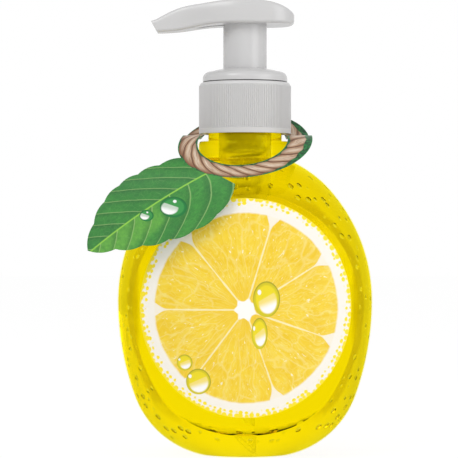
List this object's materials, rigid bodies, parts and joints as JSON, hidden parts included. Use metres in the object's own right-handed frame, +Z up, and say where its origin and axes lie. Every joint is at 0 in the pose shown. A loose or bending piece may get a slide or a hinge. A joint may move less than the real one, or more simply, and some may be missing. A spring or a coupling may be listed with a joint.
{
  "type": "liquid soap bottle",
  "caption": "Lemon-shaped pump bottle of liquid soap, with a screw closure, a working lotion pump, a round front label and a leaf-shaped card tag round its neck.",
  "frame": {"origin": "on the bottle's axis, in the plane of the foot that it stands on", "axes": "+Z up along the bottle's axis; the label faces -Y; the nozzle points along -X"},
  "size_m": [0.1001, 0.0679, 0.1628],
  "materials": {
    "bottle_clear": "clear, glossy",
    "soap": "clear yellow liquid",
    "label_print": "printed, smooth",
    "tag_card": "printed both sides, satin",
    "pump_white": "satin",
    "pump_white_gloss": "glossy",
    "gasket_foam": "soft, matt",
    "pump_natural": "natural, cloudy",
    "tube_natural": "natural, cloudy",
    "valve_steel": "polished",
    "spring_steel": "drawn wire",
    "piston_soft": "soft, matt"
  },
  "bodies": {
    "bottle": {"bottle": "bottle_clear", "soap_fill": "soap", "front_label": "label_print", "neck_tag": "tag_card"},
    "pump_body": {"pump_housing": "pump_natural", "lock_ring": "pump_white_gloss", "gasket": "gasket_foam", "dip_tube": "tube_natural", "inlet_ball": "valve_steel", "ball_cage": "pump_natural", "spring": "spring_steel"},
    "closure": {"closure": "pump_white"},
    "plunger": {"piston": "piston_soft"},
    "head": {"pump_head": "pump_white_gloss", "stem": "pump_white", "outlet_ball": "valve_steel"}
  },
  "joints": [
    {"name": "pump_lift", "type": "slide", "parent": "bottle", "child": "pump_body", "axis": [0, 0, 1], "range_m": [0, 0.00635]},
    {"name": "closure_turn", "type": "hinge", "parent": "pump_body", "child": "closure", "pos_m": [0, 0, 0.1236], "axis": [0, 0, 1], "range_deg": [0, 540]},
    {"name": "pump_press", "type": "slide", "parent": "pump_body", "child": "plunger", "axis": [0, 0, -1], "range_m": [0, 0.013], "stiffness_N_per_m": 700, "springref_m": -0.006, "deforming": ["spring"]},
    {"name": "head_turn", "type": "hinge", "parent": "plunger", "child": "head", "pos_m": [0, 0, 0.144], "axis": [0, 0, 1], "continuous": true}
  ],
  "couplings": [
    {"joint": "closure_turn", "follows": "pump_lift", "rad_per_m": 1484.2}
  ]
}
